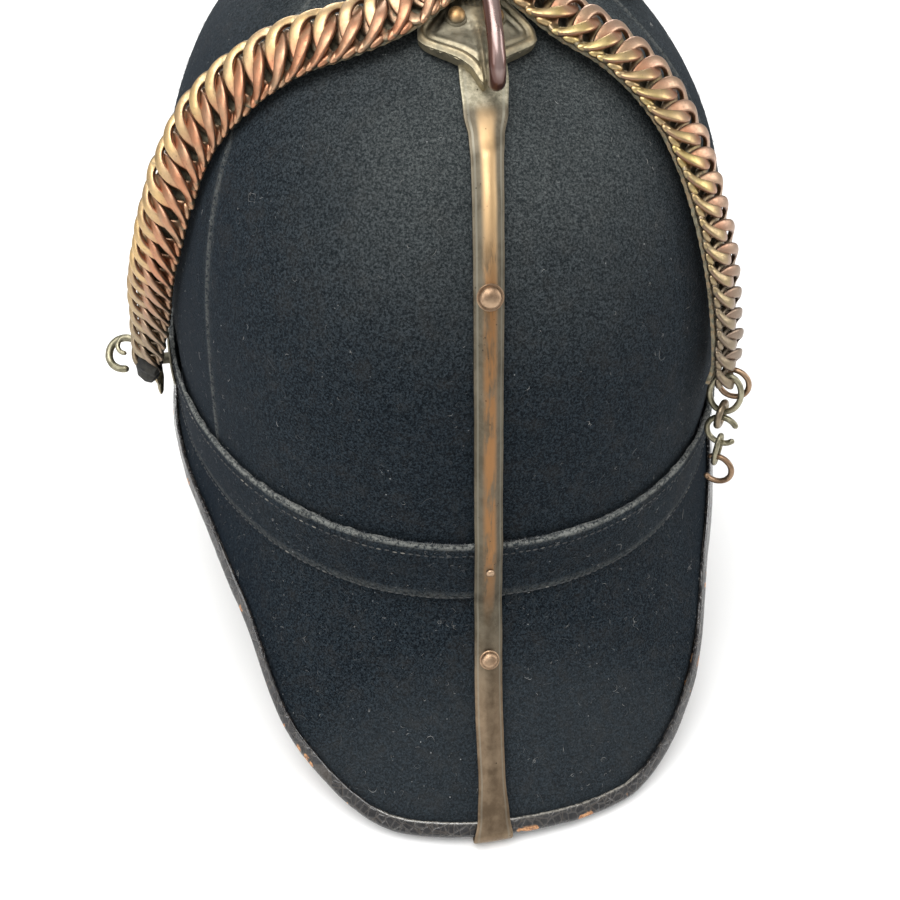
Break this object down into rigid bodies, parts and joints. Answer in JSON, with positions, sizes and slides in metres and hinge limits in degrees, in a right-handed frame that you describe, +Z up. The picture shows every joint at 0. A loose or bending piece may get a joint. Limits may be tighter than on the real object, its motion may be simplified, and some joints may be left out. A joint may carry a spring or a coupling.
{
  "type": "cloth helmet",
  "caption": "Spiked cloth-covered helmet with front and back peaks, a metal back bar and a curb chin chain hooked up at the rear; worn on the head.",
  "frame": {"origin": "on the middle plane of the helmet under the middle of its crown, in the table plane that the rims of the two peaks rest on", "axes": "+Y towards the front peak, +X towards the wearer's right, +Z up along the spike"},
  "size_m": [0.21, 0.3168, 0.2934],
  "materials": {
    "navy_cloth": "dark navy wool cloth over cork, faded and dusty",
    "patent_edge": "black patent leather, crazed and chipped",
    "edge_metal": "dull tarnished strip",
    "bar_metal": "olive grey tarnish with a coppery worn middle",
    "fitting_metal": "tarnished, brighter on the raised rims",
    "stud_metal": "coppery brown",
    "chain_metal": "copper and gold wear with olive patina in the recesses",
    "rod_metal": "dark purple brown, polished",
    "ring_metal": "brown and grey green tarnish",
    "chain_lining": "dark backing strip, scuffed brown along its edges"
  },
  "bodies": {
    "root": {"crown": "navy_cloth", "band": "navy_cloth", "back_peak": "navy_cloth", "front_peak": "navy_cloth", "back_binding": "patent_edge", "front_binding": "edge_metal", "back_bar": "bar_metal", "cross_base": "fitting_metal", "spike": "fitting_metal", "chain_hook": "rod_metal", "chin_chain": "chain_metal", "chain_lining": "chain_lining", "rosette_left": "fitting_metal", "rosette_right": "fitting_metal", "upper_stud": "stud_metal", "bar_pin": "stud_metal", "lower_stud": "stud_metal", "loose_ring_left_1": "ring_metal", "loose_ring_left_2": "rod_metal", "end_link_right_1": "ring_metal", "loose_ring_right": "stud_metal", "end_stud_right": "chain_metal", "end_link_right_2": "ring_metal", "end_link_right_3": "ring_metal", "end_hook_right": "stud_metal"}
  },
  "joints": []
}
